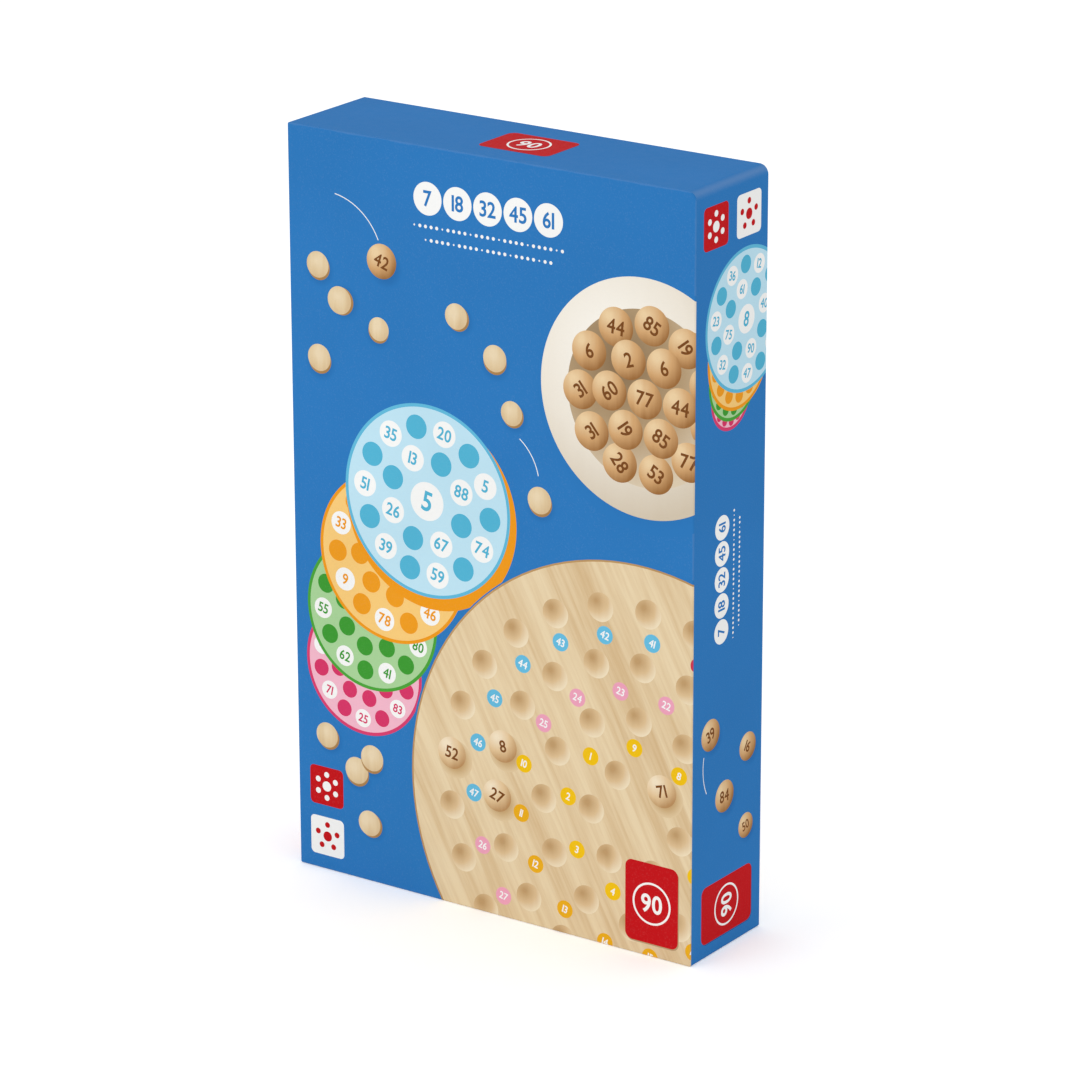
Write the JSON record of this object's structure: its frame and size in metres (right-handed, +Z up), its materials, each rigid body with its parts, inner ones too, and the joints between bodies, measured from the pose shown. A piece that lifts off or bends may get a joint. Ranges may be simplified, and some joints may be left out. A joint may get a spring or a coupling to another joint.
{
  "type": "boxed bingo game",
  "caption": "Flat upright game box: a full-depth lid over a tray with a folding pitted number board, cards, tokens, a rules leaflet and a cloth bag of balls.",
  "frame": {"origin": "on the ground, under the middle of the closed box, which stands on its lower end", "axes": "+X to the right of the front face, +Y from the front face to the back, +Z up along the box's height"},
  "size_m": [0.22, 0.058, 0.36],
  "materials": {
    "lid_print": "satin-laminated printed wrap, blue ground",
    "tray_carton": "white-lined box board",
    "insert_card": "uncoated folded card",
    "leaflet_paper": "folded offset paper",
    "board_wood": "pale beech, clear satin varnish, printed number dots",
    "ball_wood": "turned pale beech",
    "token_wood": "pale beech with an end-grain edge",
    "bag_cloth": "unbleached plain-weave cotton",
    "cord_cotton": "twisted cotton cord",
    "hinge_steel": "plated steel",
    "card_blue": "printed and laminated card, light blue",
    "card_orange": "printed and laminated card, orange",
    "card_green": "printed and laminated card, green",
    "card_pink": "printed and laminated card, pink"
  },
  "bodies": {
    "tray": {"tray": "tray_carton", "insert": "insert_card"},
    "lid": {"lid": "lid_print"},
    "leaflet": {"rules_leaflet": "leaflet_paper"},
    "board_rear": {"board_rear_half": "board_wood", "hinge_1_leaf_rear_half": "hinge_steel", "hinge_1_pin": "hinge_steel", "hinge_1_screw_rear_half_1": "hinge_steel", "hinge_1_screw_rear_half_2": "hinge_steel", "hinge_2_leaf_rear_half": "hinge_steel", "hinge_2_pin": "hinge_steel", "hinge_2_screw_rear_half_1": "hinge_steel", "hinge_2_screw_rear_half_2": "hinge_steel"},
    "board_front": {"board_front_half": "board_wood", "hinge_1_leaf_front_half": "hinge_steel", "hinge_1_screw_front_half_1": "hinge_steel", "hinge_1_screw_front_half_2": "hinge_steel", "hinge_2_leaf_front_half": "hinge_steel", "hinge_2_screw_front_half_1": "hinge_steel", "hinge_2_screw_front_half_2": "hinge_steel"},
    "cards": {"card_blue_1": "card_blue", "card_blue_2": "card_blue", "card_blue_3": "card_blue", "card_blue_4": "card_blue", "card_blue_5": "card_blue", "card_blue_6": "card_blue", "card_orange_1": "card_orange", "card_orange_2": "card_orange", "card_orange_3": "card_orange", "card_orange_4": "card_orange", "card_orange_5": "card_orange", "card_orange_6": "card_orange", "card_green_1": "card_green", "card_green_2": "card_green", "card_green_3": "card_green", "card_green_4": "card_green", "card_green_5": "card_green", "card_green_6": "card_green", "card_pink_1": "card_pink", "card_pink_2": "card_pink", "card_pink_3": "card_pink", "card_pink_4": "card_pink", "card_pink_5": "card_pink", "card_pink_6": "card_pink"},
    "bag": {"ball_bag": "bag_cloth", "bag_neck": "bag_cloth", "bag_drawcord": "cord_cotton", "ball_row_01": "ball_wood", "ball_row_02": "ball_wood", "ball_row_03": "ball_wood", "ball_row_04": "ball_wood", "ball_row_05": "ball_wood", "ball_row_06": "ball_wood", "ball_row_07": "ball_wood", "ball_row_08": "ball_wood", "ball_row_09": "ball_wood", "ball_row_10": "ball_wood"},
    "tokens": {"token_roll_1": "token_wood", "token_roll_2": "token_wood", "token_roll_3": "token_wood"}
  },
  "joints": [
    {"name": "lid_lift", "type": "slide", "parent": "tray", "child": "lid", "axis": [0, -1, 0], "range_m": [0, 0.74]},
    {"name": "board_lift", "type": "slide", "parent": "tray", "child": "board_rear", "axis": [0, -1, 0], "range_m": [0, 0.1]},
    {"name": "board_fold", "type": "hinge", "parent": "board_rear", "child": "board_front", "pos_m": [-0.09915, -0.01245, 0.15], "axis": [0, 0, 1], "range_deg": [-180, 0]},
    {"name": "leaflet_lift", "type": "slide", "parent": "tray", "child": "leaflet", "axis": [0, -1, 0], "range_m": [0, 0.08]},
    {"name": "cards_lift", "type": "slide", "parent": "tray", "child": "cards", "axis": [0, -1, 0], "range_m": [0, 0.06]},
    {"name": "bag_lift", "type": "slide", "parent": "tray", "child": "bag", "axis": [0, -1, 0], "range_m": [0, 0.06]},
    {"name": "tokens_lift", "type": "slide", "parent": "tray", "child": "tokens", "axis": [0, -1, 0], "range_m": [0, 0.06]}
  ],
  "couplings": [
    {"joint": "board_lift", "follows": "lid_lift", "ratio": 0.135},
    {"joint": "board_fold", "follows": "lid_lift", "rad_per_m": -4.245},
    {"joint": "leaflet_lift", "follows": "lid_lift", "ratio": 0.108},
    {"joint": "cards_lift", "follows": "lid_lift", "ratio": 0.081},
    {"joint": "bag_lift", "follows": "lid_lift", "ratio": 0.081},
    {"joint": "tokens_lift", "follows": "lid_lift", "ratio": 0.081}
  ]
}
